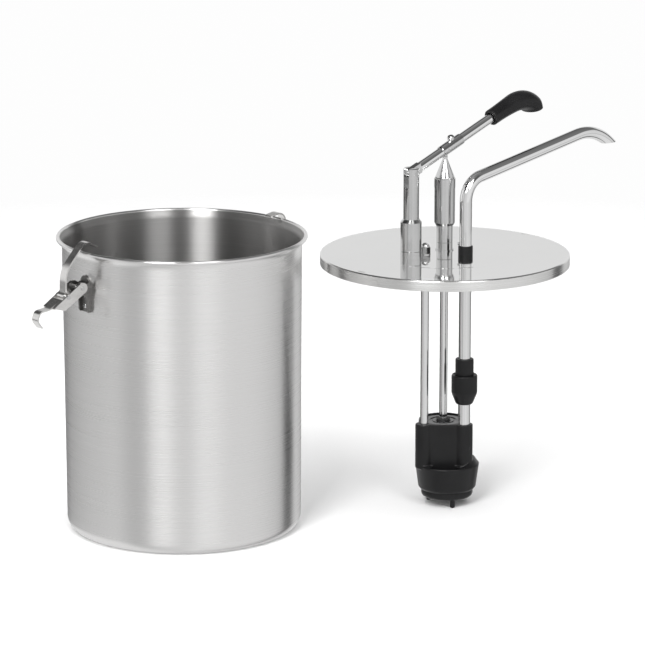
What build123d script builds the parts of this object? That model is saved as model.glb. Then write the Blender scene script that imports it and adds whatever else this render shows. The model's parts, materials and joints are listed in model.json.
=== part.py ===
from build123d import *
import os
from math import sin, cos, tan, radians, sqrt

os.makedirs("parts", exist_ok=True)

# Condiment pump dispenser: a ten-litre steel pot with two over-centre latches, and the
# lid with its lever pump, lifted out and standing on its own feet beside the pot.
# Frame: origin on the floor at the pot's centre, +X from the pot to the pump, +Z up.

# ---------------------------------------------------------------- driving dimensions
# pot
POT_H = 286.0
POT_R_TOP = 114.2
POT_R_BASE = 112.7
POT_WALL = 1.0
BASE_CORNER_R = 11.0
RIM_R = 119.7
RIM_BEAD_R = 1.9
FLARE_H = 10.0

# latches, measured in each latch's own frame: X outward, Z up from the rim plane
LATCH_AZIMUTH = {"left": 220.0, "right": 41.0}
LATCH_DROP = {"left": 32.0, "right": 84.0}
STRAP_TURN_PER_LEVER_TURN = 0.35
BRACKET_PIVOT = (124.3, -33.0)
BRACKET_HALF = 6.7
BRACKET_T = 1.5
STRAP_PIN = (17.3, 3.4)
LATCH_PIN_R = 2.0
RUN_FIT = 0.05
EAR_HALF = 8.7
EAR_T = 1.5
STRAP_W = 9.0
STRAP_T = 1.5

# pump, measured in its own frame: X along the lever, origin on the plunger axis
PUMP_X = 252.2
PUMP_Y = 78.0
PUMP_TURN = 45.0
LID_Z = 253.0
LID_CENTRE = (-9.5, -9.5)
LID_R = 121.0
LID_T = 1.2
SKIRT_H = 10.6
EMBOSS_R = 68.5
POST_AT = (-47.0, 0.0)
STAY_AT = (-27.0, 0.0)
SPOUT_AT = (0.0, -28.0)
DRUM_AT = (-3.6, -9.1)

# lever linkage
PIVOT_H = 83.0
LEVER_RISE = 19.0
LEVER_R = 4.75
LINK_PIN_R = 1.5
LINK_AT = -POST_AT[0] / cos(radians(LEVER_RISE))
GRIP_START = 117.5
STROKE = 23.5

# pump body
BODY_TOP = 83.0
DRUM_TOP = 41.6
DRUM_FOOT = 15.4
COVER_FOOT = 7.8
FOOT_CIRCLE_R = 19.9
PANEL_HALF = 18.5
PANEL_DEPTH = 25.0
BORE_R = 20.0
BORE_FLOOR = 37.0
CHAMBER_TOP = 34.0
INLET_SEAT = 19.4
OUTLET_SEAT = 47.0
TUBE_R = 6.0
TUBE_END = 62.0
SLEEVE_R = 9.0
ROD_R = 4.0

PUMP = Location((PUMP_X, PUMP_Y, 0), (0, 0, PUMP_TURN))
LEVER = PUMP * Location((POST_AT[0], 0, LID_Z + PIVOT_H), (0, -LEVER_RISE, 0))


# ---------------------------------------------------------------- helpers
def rod(radius, z0, z1, at=(0, 0)):
    """A round bar between two heights."""
    return Pos(at[0], at[1], (z0 + z1) / 2) * Cylinder(radius, z1 - z0)


def ring(outer, inner, z0, z1, at=(0, 0)):
    return rod(outer, z0, z1, at) - rod(inner, z0 - 1, z1 + 1, at)


def cone(r0, r1, z0, z1, at=(0, 0)):
    return Pos(at[0], at[1], (z0 + z1) / 2) * Cone(r0, r1, z1 - z0)


def hexagon(across_flats, z0, z1, at=(0, 0)):
    flat = RegularPolygon(across_flats / 2, 6, major_radius=False)
    return Pos(at[0], at[1], z0) * extrude(flat, z1 - z0)


def turned(*points):
    """A body of revolution about Z from its half outline in X and Z."""
    return revolve(Plane.XZ * make_face(Polyline(*points, close=True)), Axis.Z)


def slab(points, y0, y1):
    """A plate from an outline in X and Z, between two places on Y."""
    face = Plane.XZ * make_face(Polyline(*points, close=True))
    return Pos(0, y1, 0) * extrude(face, y1 - y0)


def cross_bar(radius, y0, y1, x=0.0, z=0.0):
    """A round bar along Y."""
    return Pos(x, (y0 + y1) / 2, z) * Rot(90, 0, 0) * Cylinder(radius, y1 - y0)


def along_bar(radius, x0, x1):
    """A round bar along X."""
    return Pos((x0 + x1) / 2, 0, 0) * Rot(0, 90, 0) * Cylinder(radius, x1 - x0)


def strip(points, radii, width, thickness):
    """A bent flat strip: a rectangle carried along a path in X and Z."""
    path = Plane.XZ * FilletPolyline(*points, radius=radii)
    start = Plane(origin=path @ 0, x_dir=(0, 1, 0), z_dir=path % 0)
    return sweep(start * Rectangle(width, thickness), path=path)


def save(name, shape):
    shape.label = name
    export_step(shape, f"parts/{name}.step")


# ---------------------------------------------------------------- pot
def pot_shell():
    """Drawn pot: flat base, rounded corner, slightly tapered wall, flared and beaded rim."""
    flare_z = POT_H - FLARE_H
    lip = (RIM_R - 1.0, POT_H - 2.5)
    skin = []
    for inset in (0.0, POT_WALL):
        foot = (POT_R_BASE - inset, inset)
        neck = (POT_R_TOP - inset, flare_z)
        end = (lip[0] - inset * 0.66, lip[1] + inset * 0.75)
        base_line = Line((0, inset), (foot[0] - BASE_CORNER_R + inset, inset))
        corner = TangentArc(
            base_line @ 1,
            (foot[0], inset + BASE_CORNER_R - inset),
            tangent=(1, 0),
        )
        wall = Line(corner @ 1, neck)
        flare = TangentArc(neck, end, tangent=wall % 1)
        skin.append([base_line, corner, wall, flare])
    outer, inner = skin
    lip_line = Line(outer[3] @ 1, inner[3] @ 1)
    axis_line = Line(inner[0] @ 0, outer[0] @ 0)
    profile = make_face(Curve() + outer + [lip_line] + inner + [axis_line])
    bead = Pos(RIM_R - RIM_BEAD_R, POT_H - RIM_BEAD_R) * Circle(RIM_BEAD_R)
    return revolve(Plane.XZ * (profile + bead), Axis.Z)


def pot_envelope():
    """The space inside the pot's outer wall line, for trimming what is welded on it."""
    return cone(POT_R_BASE, POT_R_TOP, 0, POT_H - FLARE_H)


# ---------------------------------------------------------------- latches
def latch_frame(side):
    return Location((0, 0, POT_H), (0, 0, LATCH_AZIMUTH[side]))


def lever_frame(side):
    pivot = Location((BRACKET_PIVOT[0], 0, BRACKET_PIVOT[1]), (0, LATCH_DROP[side], 0))
    return latch_frame(side) * pivot


def strap_frame(side):
    turned_down = LATCH_DROP[side] - LATCH_DROP["left"]
    own_turn = STRAP_TURN_PER_LEVER_TURN * turned_down - LATCH_DROP[side]
    return lever_frame(side) * Location((STRAP_PIN[0], 0, STRAP_PIN[1]), (0, own_turn, 0))


def latch_bracket(side):
    """Bracket: arched base plate on the pot wall, folded edges, and two ears with the pivot hole."""
    pivot_r, pivot_z = BRACKET_PIVOT
    wall = POT_R_TOP - 3
    low = pivot_z - 25
    cheek = slab(
        [(wall, low), (117, low), (118.2, low + 2), (118.8, pivot_z - 10),
         (pivot_r + 5.2, pivot_z - 1), (pivot_r + 5.2, pivot_z), (wall, pivot_z + 5.4)],
        -BRACKET_HALF,
        BRACKET_HALF,
    )
    cheek += cross_bar(5.4, -BRACKET_HALF, BRACKET_HALF, pivot_r, pivot_z)
    cheek += Pos(0, 0, pivot_z + 3) * along_bar(BRACKET_HALF, wall, POT_R_TOP + 1.5)
    inside = BRACKET_HALF - BRACKET_T
    hollow = Pos(132, 0, pivot_z - 10) * Box(2 * (132 - POT_R_TOP - 1.5), 2 * inside, 60)
    hole = cross_bar(LATCH_PIN_R, -10, 10, pivot_r, pivot_z)
    bracket = latch_frame(side) * (cheek - hollow - hole)
    return bracket - pot_envelope()


def bracket_rivets():
    """Two round-head rivets through each bracket's base plate."""
    heads = []
    for side in LATCH_AZIMUTH:
        for drop in (9.0, 19.0):
            head = Pos(POT_R_TOP + 1.5, 0, BRACKET_PIVOT[1] - drop) * Rot(0, 90, 0) * Cone(2.6, 1.6, 1.4)
            heads.append(latch_frame(side) * Pos(0.7, 0, 0) * head)
    return Compound(children=heads)


def latch_pin(half):
    return cross_bar(LATCH_PIN_R, -half, half)


def latch_lever(side):
    """Pressed lever: two cheeks, a bridge, a neck and a curled finger tab."""
    cheeks = Part()
    for y0 in (-EAR_HALF, EAR_HALF - EAR_T):
        plate = slab([(0, -5.2), (27.5, -4.5), (36, 5.3), (0, 5.3)], y0, y0 + EAR_T)
        ear = cross_bar(5.3, y0, y0 + EAR_T)
        cheeks += plate + ear
    bridge = Pos(29.75, 0, 4.55) * Box(12.5, 2 * EAR_HALF, 1.5)
    tab = strip(
        [(30, 4.55), (37.5, 4.9), (48, 10.0), (55.4, 5.2), (54.2, -4.0)],
        [10, 5, 6],
        STRAP_W,
        1.5,
    )
    pivot_hole = cross_bar(LATCH_PIN_R + RUN_FIT, -10, 10)
    strap_hole = cross_bar(LATCH_PIN_R, -10, 10, STRAP_PIN[0], STRAP_PIN[1])
    return lever_frame(side) * (cheeks + bridge + tab - pivot_hole - strap_hole)


def latch_hook(side):
    """Strap with a rolled eye at its foot and a hooked tip that grips the lid's edge."""
    strap = strip([(0, 2.7), (-0.6, 24), (-24, 49.5), (-37, 42.5)], [28, 8], STRAP_W, STRAP_T)
    eye = cross_bar(3.6, -STRAP_W / 2, STRAP_W / 2)
    hole = cross_bar(LATCH_PIN_R + RUN_FIT, -10, 10)
    return strap_frame(side) * (strap + eye - hole)


# ---------------------------------------------------------------- lid and fittings
def lid():
    """Pressed lid: flat top with an embossed ring, rounded edge and a turned-down skirt."""
    top = LID_Z
    disc = turned(
        (0, top - LID_T), (LID_R - 1.0, top - LID_T), (LID_R - 1.0, top - SKIRT_H),
        (LID_R, top - SKIRT_H), (LID_R, top - 1.6), (LID_R - 0.5, top - 0.5),
        (LID_R - 1.6, top), (EMBOSS_R + 2, top), (EMBOSS_R + 1, top + 0.5),
        (EMBOSS_R - 1, top + 0.5), (EMBOSS_R - 2, top), (0, top),
    )
    disc = Pos(LID_CENTRE[0], LID_CENTRE[1], 0) * disc
    for at, radius in ((POST_AT, 6.0), ((0, 0), 7.0), (STAY_AT, 2.5), (SPOUT_AT, 7.1)):
        disc -= rod(radius, top - 5, top + 5, at)
    for side in (-1, 1):
        reach = side * (LID_R - 5.5)
        notch = Pos(LID_CENTRE[0] + reach, LID_CENTRE[1], top) * Box(2.4, 10, 1.0)
        disc -= notch
    return disc


def post_socket():
    """Turned socket that carries the lever post, threaded below the lid."""
    z = LID_Z
    body = turned(
        (0, z - 13), (6.0, z - 13), (6.0, z), (10.25, z), (10.25, z + 6.3), (9.7, z + 6.7),
        (10.25, z + 7.1), (10.25, z + 35.0), (7.9, z + 38.0), (0, z + 38.0),
    )
    return Pos(*POST_AT) * (body - rod(7.5, z + 8, z + 40))


def lever_post():
    """Post with a fork slot at its top for the lever's tongue."""
    top = LID_Z + 88
    post = rod(7.5, LID_Z + 8, top)
    post = chamfer(post.edges().sort_by(Axis.Z)[-1], 0.8)
    post -= Pos(0, 0, top) * Box(20, 6.2, 38)
    return Pos(*POST_AT) * (post - cross_bar(2.5, -10, 10, 0, LID_Z + PIVOT_H))


def hex_nut(across_flats, hole, at, depth=5.5, gap=0.0):
    """A nut drawn up against the underside of the lid."""
    top = LID_Z - LID_T - gap
    return hexagon(across_flats, top - depth, top, at) - rod(hole, top - depth - 1, top + 1, at)


def guide_tube():
    """Tube on the lid that guides the plunger cap; its spigot passes through the lid."""
    z = LID_Z
    return turned(
        (4.5, z - 12), (7.0, z - 12), (7.0, z), (9.0, z), (9.0, z + 0.8), (8.0, z + 0.8),
        (8.0, z + 7.9), (7.6, z + 8.3), (8.0, z + 8.7), (8.0, z + 33.5),
        (6.8, z + 33.5), (6.8, z + 2), (5.5, z + 2), (5.5, z - 10), (4.5, z - 10),
    )


def stay_cap_nut():
    """Acorn nut that holds the stay rod up to the lid."""
    z = LID_Z
    nut = hexagon(8.8, z + 0.8, z + 7.0, STAY_AT)
    nut += Pos(STAY_AT[0], STAY_AT[1], z + 7.0) * Sphere(4.2)
    nut += rod(5.2, z, z + 0.8, STAY_AT)
    return nut - rod(2.5, z - 5, z + 7, STAY_AT)


def stay_rod():
    """Rod that hangs the pump body from the lid, stepped down to a stud at its top."""
    return rod(ROD_R, TUBE_END, LID_Z - LID_T, STAY_AT) + rod(2.5, LID_Z - 2, LID_Z + 7, STAY_AT)


# ---------------------------------------------------------------- spout and riser
SPOUT_BEND_H = 71.0
SPOUT_TIP_X = 206.0
UNION_FOOT = 103.5
UNION_NUT_Z = 113.0
UNION_NUT_TOP = 133.0
UNION_TOP = 149.0


def spout_tube():
    """One bent tube: riser below the lid, swan neck above it and a down-turned mouth."""
    rise = radians(8.6)
    fall = radians(39.3)
    bend = (0, LID_Z + SPOUT_BEND_H)
    crest = (186.3, bend[1] + 186.3 * tan(rise))
    mouth = (crest[0] + 36 * cos(fall), crest[1] - 36 * sin(fall))
    path = Plane.XZ * FilletPolyline((0, UNION_FOOT + 6), bend, crest, mouth, radius=[22, 60])
    start = Plane(origin=path @ 0, z_dir=(0, 0, 1))
    tube = sweep(start * Circle(TUBE_R), path=path) - sweep(start * Circle(TUBE_R - 1), path=path)
    below_mouth = Pos(SPOUT_TIP_X, 0, LID_Z + 81.5 - 20) * Box(60, 40, 40)
    return Pos(*SPOUT_AT) * (tube - below_mouth)


def spout_bush():
    """Black collar that seals and locates the spout tube in the lid."""
    z = LID_Z
    bush = turned(
        (TUBE_R, z - 9), (9.0, z - 9), (9.0, z - LID_T), (7.1, z - LID_T), (7.1, z + 8.0),
        (6.6, z + 8.6), (TUBE_R, z + 8.6),
    )
    return Pos(*SPOUT_AT) * bush


def spout_key_pin():
    """Small pin on the tube that keeps the spout from turning in its collar."""
    reach = Rot(0, 0, 135) * Pos(TUBE_R + 0.6, 0, LID_Z + 10.4) * Rot(0, 90, 0) * Cylinder(1.25, 2.0)
    return Pos(*SPOUT_AT) * (reach - rod(TUBE_R, LID_Z, LID_Z + 20))


def union_nut():
    """Bullet-shaped union nut that clamps the riser to the pump's outlet tube."""
    shell = turned(
        (TUBE_R, UNION_FOOT), (7.4, UNION_FOOT), (8.6, UNION_FOOT + 1.2), (12.0, UNION_NUT_Z),
        (12.7, UNION_NUT_Z + 2.5), (12.7, UNION_NUT_TOP - 1.0), (12.1, UNION_NUT_TOP),
        (11.3, UNION_NUT_TOP), (11.0, UNION_NUT_TOP - 0.8), (TUBE_R, UNION_NUT_TOP - 0.8),
    )
    return Pos(*SPOUT_AT) * (shell - rod(SLEEVE_R, UNION_FOOT + 8, UNION_NUT_TOP + 1))


def union_sleeve():
    sleeve = ring(SLEEVE_R, TUBE_R, UNION_FOOT + 13, UNION_TOP)
    return Pos(*SPOUT_AT) * chamfer(sleeve.edges().sort_by(Axis.Z)[-2:], 0.6)


# ---------------------------------------------------------------- pump body
def front_block(x0, x1, depth0, depth1, z0, z1):
    """A block in front of the pump's axis: X to the spout's side, depth towards the front."""
    middle = Pos((x0 + x1) / 2, -(depth0 + depth1) / 2, (z0 + z1) / 2)
    return Rot(0, 0, -PUMP_TURN) * middle * Box(x1 - x0, depth1 - depth0, z1 - z0)


def columns():
    """The cylinder, its front panel, and the two lobes beside it."""
    shape = rod(24.0, 28, BODY_TOP)
    shape += rod(8.7, DRUM_TOP - 3, BODY_TOP, STAY_AT)
    shape += rod(8.6, 30, BODY_TOP, SPOUT_AT)
    return shape + front_block(-PANEL_HALF, PANEL_HALF, 0, PANEL_DEPTH, DRUM_TOP - 8, BODY_TOP)


def front_pocket():
    """Crescent gutter at the front, between the drum's rim and the panel."""
    gutter = rod(29.6, DRUM_TOP - 5.5, DRUM_TOP + 8, DRUM_AT)
    gutter -= rod(10.4, 0, 90, STAY_AT)
    gutter -= rod(10.4, 0, 90, SPOUT_AT)
    return gutter & front_block(-PANEL_HALF, PANEL_HALF, PANEL_DEPTH, 60, 20, 60)


def rim_slope():
    """What is cut off the drum's shoulder at the front: flat, then rising on the spout's side."""
    low, high = DRUM_TOP, DRUM_TOP + 7
    wedge = slab([(-45, low), (20, low), (29, high), (-45, high)], -60, -17)
    return Rot(0, 0, -PUMP_TURN) * wedge - columns()


def pump_body():
    """Moulded body: pump cylinder, stay and riser lobes, and the drum with the inlet chamber."""
    drum = turned(
        (0, DRUM_FOOT), (26.2, DRUM_FOOT), (28.3, DRUM_FOOT + 2.6), (31.4, DRUM_TOP - 0.8),
        (30.8, DRUM_TOP), (0, DRUM_TOP),
    )
    shoulder = turned(
        (0, DRUM_TOP), (30.4, DRUM_TOP), (27.0, DRUM_TOP + 5), (25.0, DRUM_TOP + 6), (0, DRUM_TOP + 6)
    )
    body = columns() + Pos(*DRUM_AT) * (drum + shoulder)
    body -= rim_slope() + front_pocket()
    body -= rod(BORE_R, BORE_FLOOR, BODY_TOP + 1)
    body -= rod(21.6, BODY_TOP - 7, BODY_TOP + 1)
    body -= rod(22.0, DRUM_FOOT - 1, INLET_SEAT + 0.2, DRUM_AT)
    body -= rod(9.5, DRUM_FOOT, CHAMBER_TOP, DRUM_AT)
    for k in range(4):
        port = Pos(*DRUM_AT) * Rot(0, 0, 90 * k + 45) * Pos(6.6, 0, 36) * Cylinder(2.0, 6)
        body -= port
    body -= Pos(0, -23, 40) * Rot(90, 0, 0) * Cylinder(3.0, 12)
    body -= rod(3.5, 38, OUTLET_SEAT + 1, SPOUT_AT)
    body -= rod(5.3, OUTLET_SEAT, TUBE_END + 1, SPOUT_AT)
    body -= rod(TUBE_R, TUBE_END, BODY_TOP + 1, SPOUT_AT)
    body -= rod(ROD_R, TUBE_END, BODY_TOP + 1, STAY_AT)
    return body - cross_bar(1.0, SPOUT_AT[1] - 12, SPOUT_AT[1] + 5.4, 0, TUBE_END - 2.5)


def outlet_stop_pin():
    return Pos(0, SPOUT_AT[1], 0) * cross_bar(1.0, -8.4, 5.4, 0, TUBE_END - 2.5)


def cylinder_cap():
    """Plug in the top of the cylinder, with a raised gland round the rod."""
    cap = turned(
        (ROD_R + 0.06, BODY_TOP - 7), (21.6, BODY_TOP - 7), (21.6, BODY_TOP - 1.2),
        (13.5, BODY_TOP - 1.2), (13.0, BODY_TOP - 1.9), (11.0, BODY_TOP - 1.9), (10.5, BODY_TOP - 1.2),
        (8.0, BODY_TOP - 1.2), (7.4, BODY_TOP - 0.4), (ROD_R + 0.06, BODY_TOP - 0.4),
    )
    return cap


def bottom_cover():
    """Screwed cover with the inlet seat and three feet that keep the inlet off the pot floor."""
    cover = turned(
        (4.5, COVER_FOOT), (22.8, COVER_FOOT), (24.8, COVER_FOOT + 1.6), (25.3, COVER_FOOT + 3.4),
        (25.3, DRUM_FOOT), (22.0, DRUM_FOOT), (22.0, INLET_SEAT), (4.5, INLET_SEAT),
    )
    cover -= ring(23.0, 20.6, DRUM_FOOT + 1.0, DRUM_FOOT + 3.0)
    for turn in (107.0, -121.0, -7.0):
        foot = rod(2.5, 1.0, COVER_FOOT + 1) + Pos(0, 0, 1.0) * cone(1.6, 2.5, -1.0, 0.0)
        cover += Rot(0, 0, turn) * Pos(FOOT_CIRCLE_R, 0, 0) * foot
    return Pos(*DRUM_AT) * cover


def ball(radius, seat_r, seat_z, at):
    """A check ball resting on the edge of its seat."""
    lift = sqrt(radius ** 2 - seat_r ** 2)
    return Pos(at[0], at[1], seat_z + lift + 0.02) * Sphere(radius)


# ---------------------------------------------------------------- plunger
PISTON_FOOT = 62.0


def plunger_cap():
    """Long cap on the rod that slides over the guide tube and covers the spring."""
    z = LID_Z
    return turned(
        (8.35, z + 25), (8.8, z + 25), (10.0, z + 27.5), (10.0, z + 62), (4.0, z + 62),
        (4.0, z + 59), (8.35, z + 59),
    )


def plunger_head():
    """Cone on the rod's top with a slotted blade that the lever's link pin works in."""
    z = LID_Z
    head = turned(
        (0, z + 71), (9.3, z + 71), (9.3, z + 72.5), (2.6, z + 89.5), (2.2, z + 92.0), (0, z + 92.0),
    )
    link_h = LID_Z + PIVOT_H + LINK_AT * sin(radians(LEVER_RISE))
    stem = Pos(0, 0, (z + 91 + link_h) / 2) * Box(4.0, 3.0, link_h - z - 91)
    travel = (-0.5, 3.2)
    middle = Pos(sum(travel) / 2, 0, link_h)
    blade = middle * Box(travel[1] - travel[0], 3.0, 6.8)
    slot = middle * Box(travel[1] - travel[0], 6, 4.2)
    for x in travel:
        blade += cross_bar(3.4, -1.5, 1.5, x, link_h)
        slot += cross_bar(2.1, -3, 3, x, link_h)
    return head + stem + blade - slot - rod(3.0, z + 70, z + 78)


def plunger_rod():
    """Rod from the piston up through the lid, spring and cap into the cone."""
    z = LID_Z
    return rod(ROD_R, PISTON_FOOT + 4.5, z + 66) + rod(3.0, z + 65, z + 78) + rod(3.0, PISTON_FOOT, PISTON_FOOT + 5)


def piston():
    z = PISTON_FOOT
    return turned(
        (3.0, z + 3.0), (12, z + 3.0), (12, z), (18.5, z), (BORE_R - 0.08, z + 1.0), (BORE_R - 0.08, z + 3.6),
        (18.0, z + 3.6), (18.0, z + 6.6), (BORE_R - 0.08, z + 6.6), (BORE_R - 0.08, z + 10.5),
        (19.0, z + 11.0), (ROD_R, z + 11.0), (ROD_R, z + 4.5), (3.0, z + 4.5),
    )


def return_spring():
    """Compression spring round the rod, between the guide tube's ledge and the cap."""
    wire = 0.7
    low = LID_Z + 2 + wire
    length = 57 - 2 * wire
    path = Pos(0, 0, low) * Helix(length / 12, length, 5.4)
    start = Plane(origin=path @ 0, z_dir=path % 0)
    return sweep(start * Circle(wire), path=path)


# ---------------------------------------------------------------- lever, in its own frame
SLEEVE_START = 44.0
SLEEVE_END = 72.0
BAR_JOINT = 67.0
BLADE_SLOT = (LINK_AT - 7.8, LINK_AT + 8.4)


def blade_slot(below, above):
    centre = (BLADE_SLOT[0] + BLADE_SLOT[1]) / 2
    return Pos(centre, 0, (above + below) / 2) * Box(BLADE_SLOT[1] - BLADE_SLOT[0], 3.8, above - below)


def lever_arm():
    """Inner bar: flat tongue in the post's fork, round shoulder, and the blade slot."""
    arm = along_bar(LEVER_R, 11, BAR_JOINT)
    arm += cross_bar(LEVER_R, -2.95, 2.95) + Pos(6, 0, 0) * Box(12, 5.9, 2 * LEVER_R)
    arm -= cross_bar(2.5 + RUN_FIT, -5, 5)
    arm -= blade_slot(-6, 6)
    return arm - cross_bar(LINK_PIN_R, -6, 6, LINK_AT, 0) - rod(1.75, -1, 6, (60.5, 0))


def lever_sleeve():
    """Clamp sleeve that joins the inner bar to the handle rod."""
    sleeve = along_bar(5.6, SLEEVE_START, SLEEVE_END) - along_bar(LEVER_R, 40, 80)
    sleeve -= blade_slot(-8, 0) + Pos(SLEEVE_START, 0, -4) * Box(2, 3.8, 8)
    return sleeve - cross_bar(LINK_PIN_R, -6, 6, LINK_AT, 0) - rod(1.75, 2, 8, (60.5, 0))


def sleeve_screw():
    """Domed screw that clamps the sleeve to the bar."""
    head = chamfer(rod(3.5, 5.6, 9.4, (60.5, 0)).edges().sort_by(Axis.Z)[-1], 0.9)
    return head + rod(1.75, -1, 5.6, (60.5, 0))


def lever_grip():
    """Palm grip: round socket on the rod that swells and turns down into a wide oval end."""
    start = GRIP_START
    stations = [
        (start, 0.0, 0, 8.0, 8.0), (start + 14, 0.0, 0, 8.3, 8.2), (start + 27, -0.2, 4, 9.6, 8.6),
        (start + 38.5, -1.0, 18, 11.4, 9.2), (start + 49, -4.6, 42, 13.0, 9.8),
        (start + 56, -11.0, 68, 13.8, 9.6), (start + 57.5, -18.0, 90, 13.0, 8.6),
    ]
    sections = []
    for x, z, turn, half_width, half_height in stations:
        plane = Plane(origin=(x, 0, z), x_dir=(0, 1, 0), z_dir=(cos(radians(turn)), 0, -sin(radians(turn))))
        sections.append(plane * Ellipse(half_width, half_height))
    grip = loft(sections)
    return grip - along_bar(LEVER_R, start - 5, start + 36)


# ---------------------------------------------------------------- write the nodes
NODES = {
    "pot_shell": pot_shell(),
    "bracket_rivets": bracket_rivets(),
}
for side in LATCH_AZIMUTH:
    NODES[f"{side}_latch_bracket"] = latch_bracket(side)
    NODES[f"{side}_lever_pin"] = lever_frame(side) * latch_pin(9.4)
    NODES[f"{side}_latch_lever"] = latch_lever(side)
    NODES[f"{side}_hook_pin"] = strap_frame(side) * latch_pin(9.2)
    NODES[f"{side}_latch_hook"] = latch_hook(side)

PUMP_NODES = {
    "lid": lid(),
    "post_socket": post_socket(),
    "lever_post": lever_post(),
    "lever_pivot_pin": Pos(*POST_AT) * cross_bar(2.5, -7.2, 7.2, 0, LID_Z + PIVOT_H),
    "socket_nut": hex_nut(19, 6.0, POST_AT),
    "guide_tube": guide_tube(),
    "guide_bush": ring(5.5, ROD_R + RUN_FIT, LID_Z - 10, LID_Z + 2),
    "guide_nut": hex_nut(22, 7.0, (0, 0)),
    "spout_tube": spout_tube(),
    "spout_bush": spout_bush(),
    "spout_key_pin": spout_key_pin(),
    "stay_rod": stay_rod(),
    "stay_cap_nut": stay_cap_nut(),
    "union_nut": union_nut(),
    "union_sleeve": union_sleeve(),
    "union_seal": Pos(*SPOUT_AT) * ring(SLEEVE_R, TUBE_R, UNION_FOOT + 8, UNION_FOOT + 11),
    "outlet_tube": ring(TUBE_R, TUBE_R - 1, TUBE_END, UNION_FOOT + 6, SPOUT_AT),
    "pump_body": pump_body(),
    "outlet_stop_pin": outlet_stop_pin(),
    "cylinder_cap": cylinder_cap(),
    "rod_wiper": ring(6.6, ROD_R + RUN_FIT, BODY_TOP - 0.4, BODY_TOP + 0.8),
    "bottom_cover": bottom_cover(),
    "cover_seal": Pos(*DRUM_AT) * ring(22.0, 20.6, DRUM_FOOT + 1.0, DRUM_FOOT + 3.0),
    "inlet_ball": ball(6.5, 4.5, INLET_SEAT, DRUM_AT),
    "outlet_ball": ball(4.6, 3.5, OUTLET_SEAT, SPOUT_AT),
    "return_spring": return_spring(),
    "plunger_cap": plunger_cap(),
    "plunger_lock_nut": ring(10.2, 4.0, LID_Z + 62, LID_Z + 66) + ring(10.2, 3.0, LID_Z + 66, LID_Z + 71),
    "plunger_head": plunger_head(),
    "plunger_rod": plunger_rod(),
    "piston": piston(),
    "piston_seal": ring(BORE_R - 0.05, 18.0, PISTON_FOOT + 3.6, PISTON_FOOT + 6.6),
    "piston_nut": hexagon(11, PISTON_FOOT, PISTON_FOOT + 3.0) - rod(3.0, 0, 90),
}
LEVER_NODES = {
    "lever_arm": lever_arm(),
    "lever_sleeve": lever_sleeve(),
    "sleeve_screw": sleeve_screw(),
    "link_pin": cross_bar(LINK_PIN_R, -5.5, 5.5, LINK_AT, 0),
    "lever_rod": along_bar(LEVER_R, BAR_JOINT, GRIP_START + 36),
    "lever_grip": lever_grip(),
}
NODES.update({name: PUMP * shape for name, shape in PUMP_NODES.items()})
NODES.update({name: LEVER * shape for name, shape in LEVER_NODES.items()})

for name, shape in NODES.items():
    save(name, shape)
print(len(NODES), "nodes written")
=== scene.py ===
import json
from math import cos, pi, radians, sin

import bmesh
import bpy
from mathutils import Matrix, Vector


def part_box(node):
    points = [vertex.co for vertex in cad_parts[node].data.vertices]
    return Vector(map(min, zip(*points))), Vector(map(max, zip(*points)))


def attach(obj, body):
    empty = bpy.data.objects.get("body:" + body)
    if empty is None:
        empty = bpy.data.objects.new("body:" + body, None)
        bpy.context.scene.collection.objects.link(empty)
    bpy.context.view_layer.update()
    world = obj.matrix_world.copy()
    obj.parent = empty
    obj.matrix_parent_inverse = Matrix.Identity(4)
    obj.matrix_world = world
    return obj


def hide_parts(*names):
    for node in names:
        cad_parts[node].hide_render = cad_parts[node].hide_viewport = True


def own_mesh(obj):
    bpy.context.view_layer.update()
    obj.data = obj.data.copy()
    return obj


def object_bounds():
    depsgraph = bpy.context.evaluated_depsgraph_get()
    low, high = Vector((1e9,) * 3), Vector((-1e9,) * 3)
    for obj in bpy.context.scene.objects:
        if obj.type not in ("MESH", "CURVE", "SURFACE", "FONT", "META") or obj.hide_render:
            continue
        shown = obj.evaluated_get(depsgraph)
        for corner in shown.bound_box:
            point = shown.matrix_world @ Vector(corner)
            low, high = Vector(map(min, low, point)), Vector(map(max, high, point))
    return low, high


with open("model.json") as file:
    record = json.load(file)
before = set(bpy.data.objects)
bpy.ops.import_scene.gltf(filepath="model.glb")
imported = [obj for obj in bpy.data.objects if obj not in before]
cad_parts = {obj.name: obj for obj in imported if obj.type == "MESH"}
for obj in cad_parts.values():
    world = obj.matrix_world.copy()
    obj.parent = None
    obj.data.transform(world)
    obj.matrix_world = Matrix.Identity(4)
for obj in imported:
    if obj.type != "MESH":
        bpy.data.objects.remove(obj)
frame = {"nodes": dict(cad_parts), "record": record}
CAD_BOX = [list(corner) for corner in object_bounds()]

MM = 0.001
LATHE_STEPS = 320
SKIRT_BANDS = 16
SMOOTH_EDGE = 35
LEVER_AZIMUTH = 45
LEVER_RISE = 19
LATCH_AZIMUTHS = (45, 225)
FLOOR_RADIUS = 1.6
LENS = 223.26
CAMERA_AT = (0.1337, -3.7151, 1.1113)
CAMERA_TILT = 13.794


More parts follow.
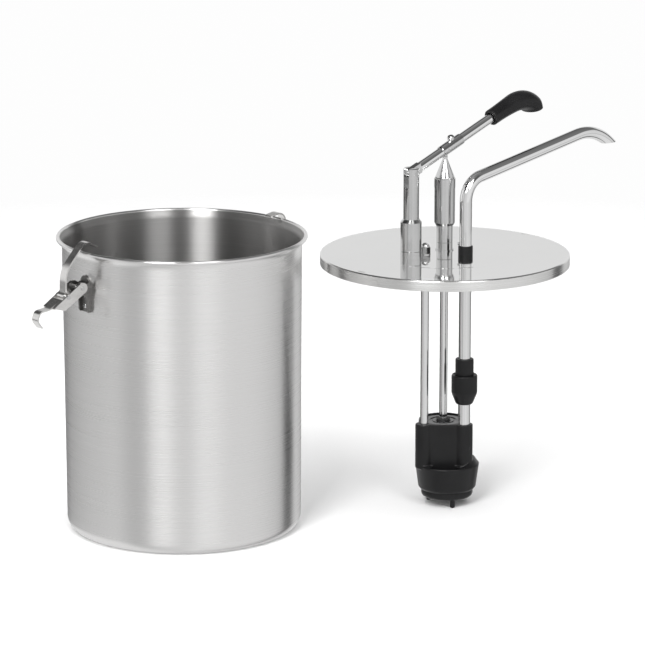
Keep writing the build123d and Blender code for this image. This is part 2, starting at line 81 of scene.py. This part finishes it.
# ---------------------------------------------------------------- material helpers
class Shader:
    """A node material being put together: adds nodes and links them by name."""

    def __init__(self, name):
        self.material = bpy.data.materials.new(name)
        self.material.use_nodes = True
        self.tree = self.material.node_tree
        self.surface = self.tree.nodes["Principled BSDF"]

    def add(self, kind, **settings):
        node = self.tree.nodes.new(kind)
        for key, value in settings.items():
            setattr(node, key, value)
        return node

    def link(self, source, target):
        self.tree.links.new(source, target)

    def fixed(self, **values):
        """Sets constants on the surface shader's own sockets."""
        for key, value in values.items():
            self.surface.inputs[key.replace("_", " ")].default_value = value

    def position(self, scale=(1, 1, 1)):
        """Object coordinates, which are the row frame in metres, stretched along each axis."""
        coordinates = self.add("ShaderNodeTexCoord")
        mapping = self.add("ShaderNodeMapping")
        mapping.inputs["Scale"].default_value = scale
        self.link(coordinates.outputs["Object"], mapping.inputs["Vector"])
        return mapping.outputs["Vector"]

    def noise(self, vector, scale, detail=2.0, roughness=0.5):
        node = self.add("ShaderNodeTexNoise")
        node.inputs["Scale"].default_value = scale
        node.inputs["Detail"].default_value = detail
        node.inputs["Roughness"].default_value = roughness
        self.link(vector, node.inputs["Vector"])
        return node.outputs["Fac"]

    def spread(self, value, low, high, start=0.3, end=0.7):
        """Maps a noise value to a range."""
        node = self.add("ShaderNodeMapRange")
        node.inputs["From Min"].default_value = start
        node.inputs["From Max"].default_value = end
        node.inputs["To Min"].default_value = low
        node.inputs["To Max"].default_value = high
        self.link(value, node.inputs["Value"])
        return node.outputs["Result"]

    def tint(self, value, *colours):
        """Runs a value from 0 to 1 through evenly spaced colours."""
        ramp = self.add("ShaderNodeValToRGB")
        stops = ramp.color_ramp.elements
        while len(stops) < len(colours):
            stops.new(0.5)
        for k, colour in enumerate(colours):
            stops[k].position = k / (len(colours) - 1)
            stops[k].color = (*colour, 1)
        self.link(value, ramp.inputs["Fac"])
        return ramp.outputs["Color"]

    def blended(self, factor, a, b):
        node = self.add("ShaderNodeMix", data_type="RGBA")
        self.link(factor, node.inputs["Factor"])
        self.link(a, node.inputs["A"])
        self.link(b, node.inputs["B"])
        return node.outputs["Result"]

    def bump(self, height, distance, strength=1.0):
        node = self.add("ShaderNodeBump")
        node.inputs["Distance"].default_value = distance
        node.inputs["Strength"].default_value = strength
        self.link(height, node.inputs["Height"])
        self.link(node.outputs["Normal"], self.surface.inputs["Normal"])

    def colour(self, output):
        self.link(output, self.surface.inputs["Base Color"])

    def roughness(self, output):
        self.link(output, self.surface.inputs["Roughness"])


# ---------------------------------------------------------------- materials
def brushed_steel(name, light, dark, rough, grain, turned_grain=0.7, stretch=(2, 2, 1500)):
    """Stainless steel with long fine brush lines round the vertical axis."""
    s = Shader(name)
    s.fixed(Metallic=1.0, Anisotropic=turned_grain, Anisotropic_Rotation=0.25)
    tangent = s.add("ShaderNodeTangent", direction_type="RADIAL", axis="Z")
    s.link(tangent.outputs["Tangent"], s.surface.inputs["Tangent"])
    lines = s.noise(s.position(stretch), 1.0, detail=3.0, roughness=0.65)
    cloud = s.noise(s.position((5, 5, 9)), 1.0, detail=3.0)
    marks = s.noise(s.position((12, 12, 500)), 1.0, detail=2.0)
    brushed = s.tint(s.spread(lines, 0, 1), dark, light)
    worn = s.tint(s.spread(cloud, 0, 1), dark, light)
    s.colour(s.blended(s.spread(marks, 0.2, 0.6), brushed, worn))
    s.roughness(s.spread(lines, rough - 0.03, rough + 0.03))
    s.bump(lines, grain)
    return s.material


def mirror_steel(name, light, dark, rough, stretch=(6, 6, 6), streak=0.02):
    """Polished stainless steel with faint buffing haze and a few wiping marks."""
    s = Shader(name)
    s.fixed(Metallic=1.0)
    haze = s.noise(s.position((7, 7, 7)), 1.0, detail=4.0)
    streaks = s.noise(s.position(stretch), 1.0, detail=2.0)
    s.colour(s.tint(s.spread(haze, 0, 1), dark, light))
    s.roughness(s.spread(streaks, rough, rough + streak))
    s.bump(streaks, 0.00001, strength=0.4)
    return s.material


def moulded_plastic(name, base, raised, rough, grain=0.00006, scale=1400, gloss=0.27):
    """Black moulded plastic: fine spark texture, slightly greyer on sharp outer edges."""
    s = Shader(name)
    s.fixed(Metallic=0.0, Specular_IOR_Level=gloss)
    spark = s.noise(s.position(), scale, detail=2.0)
    cloud = s.noise(s.position(), 40, detail=3.0)
    surface_shape = s.add("ShaderNodeNewGeometry")
    # Greyer on sharp outer edges, by the mesh's pointiness.
    worn = s.spread(surface_shape.outputs["Pointiness"], 0, 1, 0.52, 0.6)
    base_tint = s.tint(s.spread(cloud, 0, 1), base, [c * 1.35 for c in base])
    edge = s.add("ShaderNodeRGB")
    edge.outputs[0].default_value = (*raised, 1)
    s.colour(s.blended(worn, base_tint, edge.outputs[0]))
    s.roughness(s.spread(cloud, rough - 0.04, rough + 0.06))
    s.bump(spark, grain, strength=0.5)
    return s.material


MATERIALS = {
    # The pot's inside: the same steel painted darker, a painted shade for the inside of the pot.
    "pot_inside": brushed_steel(
        "pot_inside_painted_shade_steel", (0.48, 0.475, 0.47), (0.40, 0.395, 0.39), 0.39, 0.000004, 1.0
    ),
    # Latch brackets: the same steel painted much darker, a painted shade for the shadow the brackets sit in.
    "shadowed": brushed_steel(
        "bracket_painted_shade_steel", (0.27, 0.265, 0.26), (0.11, 0.108, 0.105), 0.36, 0.00002, 0.2, (300, 300, 300)
    ),
    "skirt": brushed_steel("lid_skirt_steel", (0.82, 0.82, 0.81), (0.74, 0.735, 0.73), 0.26, 0.000004, 0.8),
    "pot": brushed_steel(
        "pot_brushed_steel", (0.785, 0.78, 0.775), (0.74, 0.735, 0.73), 0.29, 0.0000025, 0.85
    ),
    "pressed": brushed_steel(
        "pressed_steel", (0.78, 0.77, 0.76), (0.66, 0.655, 0.645), 0.24, 0.00001, 0.2, (60, 60, 300)
    ),
    "lid": mirror_steel("lid_steel", (0.86, 0.86, 0.855), (0.82, 0.82, 0.815), 0.05, (4, 4, 60)),
    "turned": mirror_steel(
        "turned_steel", (0.68, 0.68, 0.68), (0.58, 0.58, 0.58), 0.12, (8, 8, 1500), 0.08
    ),
    "tube": mirror_steel("tube_steel", (0.84, 0.84, 0.84), (0.78, 0.78, 0.78), 0.07, (90, 90, 12), 0.04),
    "spring": mirror_steel("spring_wire", (0.62, 0.61, 0.60), (0.5, 0.5, 0.49), 0.18, (200, 200, 200), 0.1),
    "black": moulded_plastic("black_plastic", (0.006, 0.006, 0.0064), (0.018, 0.018, 0.019), 0.34),
    "smooth": moulded_plastic(
        "smooth_black_plastic", (0.012, 0.012, 0.0125), (0.02, 0.02, 0.021), 0.14, 0.00002, gloss=0.6
    ),
    "grip": moulded_plastic("grip_plastic", (0.006, 0.006, 0.0064), (0.018, 0.018, 0.018), 0.38),
    "white": moulded_plastic("white_plastic", (0.72, 0.71, 0.68), (0.8, 0.8, 0.78), 0.35),
    "seal": moulded_plastic("seal_rubber", (0.02, 0.02, 0.02), (0.04, 0.04, 0.04), 0.6, scale=2200),
}


def paint(piece, key):
    piece.data.materials.clear()
    piece.data.materials.append(MATERIALS[key])
    return piece


# ---------------------------------------------------------------- floor, light and camera
PAPER = 0.985
# The studio, seen from the object: how bright the room is in degrees round from the camera's side,
# positive to the right. The rings go from well below the horizon, through below it and round it, to high up
# and overhead.
ROOM_UNDER = (
    (-180, 0.75), (-150, 0.90), (-120, 0.95), (-75, 0.95), (-46, 0.60), (-35, 0.62), (-29, 0.73), (-10, 0.73),
    (0, 0.76), (22, 0.90), (60, 0.88), (88, 0.86), (112, 0.76), (121, 0.14), (131, 0.14), (141, 0.90),
)
ROOM_LOW = (
    (-180, 0.30), (-150, 0.12), (-120, 0.06), (-92, 0.10), (-65, 0.34), (-46, 0.50), (-35, 0.56), (-29, 0.76),
    (-10, 0.76), (0, 0.73), (22, 0.80), (60, 0.74), (112, 0.55), (121, 0.08), (131, 0.08), (141, 0.60),
)
ROOM_MID = (
    (-180, 0.79), (-150, 0.90), (-120, 0.95), (-92, 0.95), (-65, 0.80), (-46, 0.55), (-35, 0.60), (-29, 0.73),
    (-10, 0.73), (0, 0.76), (22, 0.90), (60, 0.90), (112, 0.76), (121, 0.14), (131, 0.14), (141, 0.90),
)
ROOM_HIGH = (
    (-180, 0.10), (-150, 0.08), (-120, 0.05), (-65, 0.05), (-34, 0.05), (-29, 12.0), (-12, 12.0), (-8, 0.10),
    (12, 0.15), (17, 4.60), (37, 4.60), (43, 0.10), (75, 0.12), (90, 0.20), (150, 0.16),
)
ROOM_ROOF = ((-180, 0.32), (0, 0.36), (90, 0.20))


def room_ring(tree, around, room):
    """A colour ramp round the horizon, closed at the back of the room."""
    ramp = tree.nodes.new("ShaderNodeValToRGB")
    ramp.color_ramp.interpolation = "EASE"
    stops = ramp.color_ramp.elements
    points = room + ((180, room[0][1]),)
    while len(stops) < len(points):
        stops.new(0.5)
    for k, (turned, bright) in enumerate(points):
        stops[k].position = (turned + 180) / 360
        stops[k].color = (bright, bright, bright, 1)
    tree.links.new(around, ramp.inputs["Fac"])
    return ramp.outputs["Color"]


def world_light():
    """Soft studio surroundings: tall light boxes and darker gaps between them, by direction."""
    world = bpy.data.worlds.new("studio")
    bpy.context.scene.world = world
    world.use_nodes = True
    tree = world.node_tree
    coordinates = tree.nodes.new("ShaderNodeTexCoord")
    turn = tree.nodes.new("ShaderNodeMapping")
    turn.inputs["Rotation"].default_value = (0, 0, radians(90))
    around = tree.nodes.new("ShaderNodeTexGradient")
    around.gradient_type = "RADIAL"
    height = tree.nodes.new("ShaderNodeSeparateXYZ")
    tree.links.new(coordinates.outputs["Generated"], turn.inputs["Vector"])
    tree.links.new(turn.outputs["Vector"], around.inputs["Vector"])
    tree.links.new(coordinates.outputs["Generated"], height.inputs["Vector"])
    shown = room_ring(tree, around.outputs["Fac"], ROOM_UNDER)
    for room, start, end in (
        (ROOM_LOW, -0.34, -0.28), (ROOM_MID, -0.19, -0.13), (ROOM_HIGH, 0.36, 0.50), (ROOM_ROOF, 0.80, 0.92)
    ):
        share = tree.nodes.new("ShaderNodeMapRange")
        share.inputs["From Min"].default_value = start
        share.inputs["From Max"].default_value = end
        share.interpolation_type = "SMOOTHSTEP"
        tree.links.new(height.outputs["Z"], share.inputs["Value"])
        mix = tree.nodes.new("ShaderNodeMix")
        mix.data_type = "RGBA"
        tree.links.new(share.outputs["Result"], mix.inputs["Factor"])
        tree.links.new(shown, mix.inputs["A"])
        tree.links.new(room_ring(tree, around.outputs["Fac"], room), mix.inputs["B"])
        shown = mix.outputs["Result"]
    seen = tree.nodes.new("ShaderNodeLightPath")
    choose = tree.nodes.new("ShaderNodeMix")
    choose.data_type = "RGBA"
    choose.inputs["B"].default_value = (PAPER, PAPER, PAPER, 1)
    tree.links.new(seen.outputs["Is Camera Ray"], choose.inputs["Factor"])
    tree.links.new(shown, choose.inputs["A"])
    tree.links.new(choose.outputs["Result"], tree.nodes["Background"].inputs["Color"])


def soft_box(name, place, target, size, power):
    """A soft area lamp that is not seen in reflections: those come from the world's rings."""
    lamp = bpy.data.lights.new(name, "AREA")
    lamp.shape = "RECTANGLE"
    lamp.size, lamp.size_y = size
    lamp.energy = power
    box = bpy.data.objects.new(name, lamp)
    box.location = place
    box.rotation_euler = (Vector(target) - Vector(place)).to_track_quat("-Z", "Y").to_euler()
    box.visible_glossy = False
    bpy.context.collection.objects.link(box)


def floor():
    """A pale sheet of paper under the object, which fades into the plain background."""
    centre = (Vector(CAD_BOX[0]) + Vector(CAD_BOX[1])) / 2
    bpy.ops.mesh.primitive_circle_add(vertices=128, radius=FLOOR_RADIUS, fill_type="NGON")
    sheet = bpy.context.object
    sheet.name = "floor"
    sheet.location = (centre.x, centre.y, 0)
    sheet.visible_glossy = False
    s = Shader("pale_floor")
    s.fixed(Roughness=0.9, Specular_IOR_Level=0.2, Base_Color=(0.9, 0.9, 0.9, 1))
    clear = s.add("ShaderNodeBsdfTransparent")
    mix = s.add("ShaderNodeMixShader")
    distance = s.add("ShaderNodeVectorMath", operation="LENGTH")
    s.link(s.position(), distance.inputs[0])
    s.link(s.spread(distance.outputs["Value"], 0, 1, 0.7, 1.5), mix.inputs["Fac"])
    s.link(s.surface.outputs["BSDF"], mix.inputs[1])
    s.link(clear.outputs["BSDF"], mix.inputs[2])
    s.link(mix.outputs["Shader"], s.tree.nodes["Material Output"].inputs["Surface"])
    sheet.data.materials.append(s.material)


def camera():
    data = bpy.data.cameras.new("camera")
    data.lens = LENS
    data.sensor_width = 36
    data.clip_end = 50
    view = bpy.data.objects.new("camera", data)
    view.location = CAMERA_AT
    view.rotation_euler = (radians(90 - CAMERA_TILT), 0, 0)
    bpy.context.collection.objects.link(view)
    bpy.context.scene.camera = view


def studio():
    world_light()
    soft_box("overhead", (0.1, 0.0, 2.6), (0.15, 0.1, 0.0), (3.0, 3.0), 62)
    soft_box("key", (-1.3, -2.2, 1.6), (0.1, 0, 0.15), (1.0, 1.6), 10)
    floor()
    camera()
    scene = bpy.context.scene
    scene.view_settings.view_transform = "Standard"
    scene.cycles.use_denoising = True


# ---------------------------------------------------------------- mesh helpers
def joint(name):
    return next(j for j in frame["record"]["behaviour"]["joints"] if j["name"] == name)


def mesh_piece(name, body, key, nodes=()):
    """An empty piece that rides on a body and stands for the CAD nodes named."""
    piece = bpy.data.objects.new(name, bpy.data.meshes.new(name))
    bpy.context.collection.objects.link(piece)
    paint(piece, key)
    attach(piece, body)
    if nodes:
        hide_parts(*nodes)
    return piece


def fill(piece, bm, sharp=SMOOTH_EDGE):
    bmesh.ops.recalc_face_normals(bm, faces=bm.faces)
    for face in bm.faces:
        face.smooth = True
    bm.to_mesh(piece.data)
    bm.free()
    piece.data.set_sharp_from_angle(angle=radians(sharp))
    return piece


def lathe(piece, outline, centre, second):
    """Turns an open outline of radius and height round a vertical axis; a point on the axis closes it.

    The bands of the outline in the range called second take the piece's second material."""
    bm = bmesh.new()
    steps = LATHE_STEPS
    rings = []
    for radius, height in outline:
        if radius < 1e-6:
            rings.append([bm.verts.new((centre.x, centre.y, height))] * steps)
            continue
        ring = []
        for k in range(steps):
            turn = 2 * pi * k / steps
            spot = (centre.x + radius * cos(turn), centre.y + radius * sin(turn), height)
            ring.append(bm.verts.new(spot))
        rings.append(ring)
    for band, (low, high) in enumerate(zip(rings, rings[1:])):
        for k in range(steps):
            corners = [low[k], low[(k + 1) % steps], high[(k + 1) % steps], high[k]]
            unique = list(dict.fromkeys(corners))
            if len(unique) > 2:
                bm.faces.new(unique).material_index = int(band in second)
    return fill(piece, bm)


def settled(piece):
    """Turns a piece's modifiers into its mesh."""
    graph = bpy.context.evaluated_depsgraph_get()
    mesh = bpy.data.meshes.new_from_object(piece.evaluated_get(graph))
    piece.modifiers.clear()
    piece.data = mesh
    return piece


def softened(name, node, body, key, voxel, rounds):
    """A moulded piece: the CAD node's shape with all its edges softly rounded."""
    piece = mesh_piece(name, body, key, [node])
    piece.data = frame["nodes"][node].data.copy()
    remesh = piece.modifiers.new("remesh", "REMESH")
    remesh.mode = "VOXEL"
    remesh.voxel_size = voxel
    smooth = piece.modifiers.new("soften", "SMOOTH")
    smooth.factor = 0.5
    smooth.iterations = rounds
    settled(piece)
    for face in piece.data.polygons:
        face.use_smooth = True
    return paint(piece, key)


def plunger_spring():
    """The return spring under the plunger's cap, a copy of the CAD node's mesh; it does not shorten with the
    plunger's stroke.
    """
    piece = mesh_piece("plunger_spring", "pump_unit", "spring", ["return_spring"])
    piece.data = frame["nodes"]["return_spring"].data.copy()
    paint(piece, "spring")
    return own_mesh(piece)


def arc(centre, radius, start, end, steps):
    """Points on an arc of an outline, between two angles in degrees."""
    points = []
    for k in range(steps + 1):
        turn = radians(start + (end - start) * k / steps)
        points.append((centre[0] + radius * cos(turn), centre[1] + radius * sin(turn)))
    return points


# ---------------------------------------------------------------- pot
def pot():
    """Deep-drawn pot with a rounded base corner, a flared neck and a rolled rim."""
    low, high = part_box("pot_shell")
    centre = Vector((0, 0, 0))
    wall = 1.0 * MM
    rim = high.x
    top = high.z
    base = 112.7 * MM
    neck = 114.2 * MM
    corner = 11 * MM
    bead = 1.9 * MM
    flare = 10 * MM
    outer = [(0, 0), (base * 0.5, 0)]
    outer += arc((base - corner, corner), corner, -90, 0, 14)
    steps = 24
    for k in range(1, steps + 1):
        share = k / steps
        outer.append((base + (neck - base) * share, corner + (top - flare - corner) * share))
    reach = rim - bead * 1.6 - neck
    for k in range(1, 13):
        share = k / 12
        outer.append((neck + reach * share ** 2.4, top - flare + (flare - bead * 1.7) * share))
    roll = arc((rim - bead, top - bead), bead, -70, 175, 22)
    inner = []
    for radius, height in reversed(outer[2:]):
        if height > top - bead * 2.4:
            continue
        inner.append((radius - wall, max(height, wall)))
    inner += [(base * 0.5, wall), (0, wall)]
    piece = mesh_piece("pot_body", "pot", "pot", ["pot_shell"])
    # The inside bands take the darker copy of the steel: painted shade inside the pot.
    piece.data.materials.append(MATERIALS["pot_inside"])
    inside = len(outer) + len(roll) - 1
    return lathe(piece, outer + roll + inner, centre, second=range(inside, inside + len(inner)))


# ---------------------------------------------------------------- lid
def lid():
    """Pressed lid: near-mirror top with an embossed ring, rolled edge and brushed skirt."""
    low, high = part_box("lid")
    centre = Vector(((low.x + high.x) / 2, (low.y + high.y) / 2, 0))
    edge = (high.x - low.x) / 2
    emboss = 68.5 * MM
    sheet = 1.0 * MM
    top = high.z - 0.5 * MM
    foot = low.z
    roll = 1.7 * MM
    outline = [(0, top), (emboss - 2.2 * MM, top)]
    for k in range(9):
        share = k / 8
        rise = 0.12 * MM * sin(pi * share) ** 2
        outline.append((emboss + (share - 0.5) * 3.4 * MM, top + rise))
    outline += [(emboss + 2.2 * MM, top), (edge - 8 * MM, top), (edge - 4.5 * MM, top)]
    skirt = len(outline) + 4
    outline += arc((edge - roll, top - roll), roll, 90, 0, 10)
    outline += [(edge, foot + 0.9 * MM)]
    outline += arc((edge - 0.5 * MM, foot + 0.5 * MM), 0.5 * MM, 0, -180, 8)
    outline += [(edge - sheet, foot + 1.2 * MM), (edge - sheet, top - roll - sheet)]
    outline += [(edge - 2 * MM, top - sheet), (emboss, top - sheet), (0, top - sheet)]
    piece = mesh_piece("lid_plate", "pump_unit", "lid", ["lid"])
    piece.data.materials.append(MATERIALS["skirt"])
    lathe(piece, outline, centre, second=range(skirt, skirt + SKIRT_BANDS))
    for turn in LATCH_AZIMUTHS:
        notch = notch_cutter(centre + Vector((edge - 5.5 * MM, 0, 0)), centre, radians(turn), top)
        cut = piece.modifiers.new("notch", "BOOLEAN")
        cut.operation = "DIFFERENCE"
        cut.object = notch
        settled(piece)
        bpy.data.objects.remove(notch)
    return piece


def notch_cutter(place, centre, turn, top):
    """A small block where a latch hook bites into the lid's edge."""
    block = bpy.data.objects.new("cutter", bpy.data.meshes.new("cutter"))
    bpy.context.collection.objects.link(block)
    bm = bmesh.new()
    bmesh.ops.create_cube(bm, size=1.0)
    bmesh.ops.scale(bm, verts=bm.verts, vec=(2.4 * MM, 9 * MM, 0.8 * MM))
    bmesh.ops.translate(bm, verts=bm.verts, vec=Vector((place.x, place.y, top)))
    bmesh.ops.rotate(bm, verts=bm.verts, cent=centre, matrix=Matrix.Rotation(turn, 3, "Z"))
    bm.to_mesh(block.data)
    bm.free()
    return block


# ---------------------------------------------------------------- grip
GRIP = (
    # along the lever, above its axis, turn down in degrees, half width and half height, in millimetres
    (117.5, 0.0, 0, 8.0, 8.0), (131.5, 0.0, 0, 8.3, 8.2), (144.5, -0.2, 4, 9.6, 8.6),
    (156.0, -1.0, 18, 11.4, 9.2), (166.5, -4.6, 42, 13.0, 9.8), (173.5, -11.0, 68, 13.8, 9.6),
    (175.0, -18.0, 90, 13.0, 8.6),
)


def lever_place():
    """The lever's own frame: X along it, Z up from its axis, origin at its pivot."""
    hinge = joint("lever_hinge")
    level = Matrix.Translation(hinge["pos_m"]) @ Matrix.Rotation(radians(LEVER_AZIMUTH), 4, "Z")
    return level @ Matrix.Rotation(radians(-LEVER_RISE), 4, "Y")


def between(rows, share):
    """A smooth curve through a list of rows (Catmull-Rom), at a share of the way along it."""
    place = share * (len(rows) - 1)
    k = min(int(place), len(rows) - 2)
    t = place - k
    before, start, end, after = (rows[min(max(k + step, 0), len(rows) - 1)] for step in (-1, 0, 1, 2))
    blended = []
    for p0, p1, p2, p3 in zip(before, start, end, after):
        bend = (2 * p0 - 5 * p1 + 4 * p2 - p3) * t ** 2 + (3 * p1 - p0 - 3 * p2 + p3) * t ** 3
        blended.append(p1 + 0.5 * ((p2 - p0) * t + bend))
    return blended


def grip():
    """Palm grip: a thick-lipped socket on the rod that swells and turns down into a wide oval mouth."""
    place = lever_place()
    steps = 64
    rings = []

    def section(row, inset=0.0, ahead=0.0):
        x, z, turn, half_width, half_height = row
        turn = radians(turn)
        ring = []
        for k in range(steps):
            angle = 2 * pi * k / steps
            across = (half_width - inset) * cos(angle)
            up = (half_height - inset) * sin(angle)
            spot = (x + up * sin(turn) + ahead * cos(turn), across, z + up * cos(turn) - ahead * sin(turn))
            ring.append(place @ (Vector(spot) * MM))
        rings.append(ring)

    for inset, ahead in ((3.1, 5.0), (3.1, 1.6), (2.7, 0.6), (1.9, 0.0), (1.0, 0.1), (0.3, 0.6)):
        section(GRIP[0], inset, ahead)
    rows = 48
    for k in range(1, rows):
        section(between(GRIP, k / rows))
    for inset, ahead in (
        (0.0, -0.9), (0.35, -0.3), (1.1, 0.0), (2.0, -0.2), (2.7, -0.9), (3.4, -2.2), (5.5, -3.0)
    ):
        section(GRIP[-1], inset, ahead)
    piece = mesh_piece("palm_grip", "lever", "grip", ["lever_grip"])
    bm = bmesh.new()
    loops = [[bm.verts.new(point) for point in ring] for ring in rings]
    for low, high in zip(loops, loops[1:]):
        for k in range(steps):
            bm.faces.new((low[k], low[(k + 1) % steps], high[(k + 1) % steps], high[k]))
    bm.faces.new(loops[0])
    bm.faces.new(loops[-1])
    return fill(piece, bm, sharp=50)


FINISHES = {
    "bracket_rivets": "turned", "left_latch_bracket": "shadowed", "right_latch_bracket": "shadowed",
    "left_latch_lever": "pressed", "right_latch_lever": "pressed", "left_latch_hook": "pressed",
    "right_latch_hook": "pressed", "spout_tube": "tube", "stay_rod": "tube", "plunger_rod": "tube",
    "outlet_tube": "tube", "lever_rod": "tube", "lever_arm": "tube", "return_spring": "spring",
    "pump_body": "black", "bottom_cover": "black", "cylinder_cap": "smooth", "union_nut": "black",
    "union_sleeve": "black", "spout_bush": "black", "outlet_stop_pin": "black", "lever_grip": "grip",
    "guide_bush": "white", "piston": "white", "piston_seal": "seal", "cover_seal": "seal",
    "union_seal": "seal", "rod_wiper": "seal",
}

studio()
for node, piece in frame["nodes"].items():
    paint(piece, FINISHES.get(node, "turned"))
pot()
lid()
grip()
softened("pump_housing", "pump_body", "pump_unit", "black", 0.6 * MM, 6)
softened("pump_cover", "bottom_cover", "pump_unit", "black", 0.45 * MM, 4)
softened("riser_nut", "union_nut", "pump_unit", "black", 0.4 * MM, 3)
softened("riser_sleeve", "union_sleeve", "pump_unit", "black", 0.4 * MM, 2)
plunger_spring()
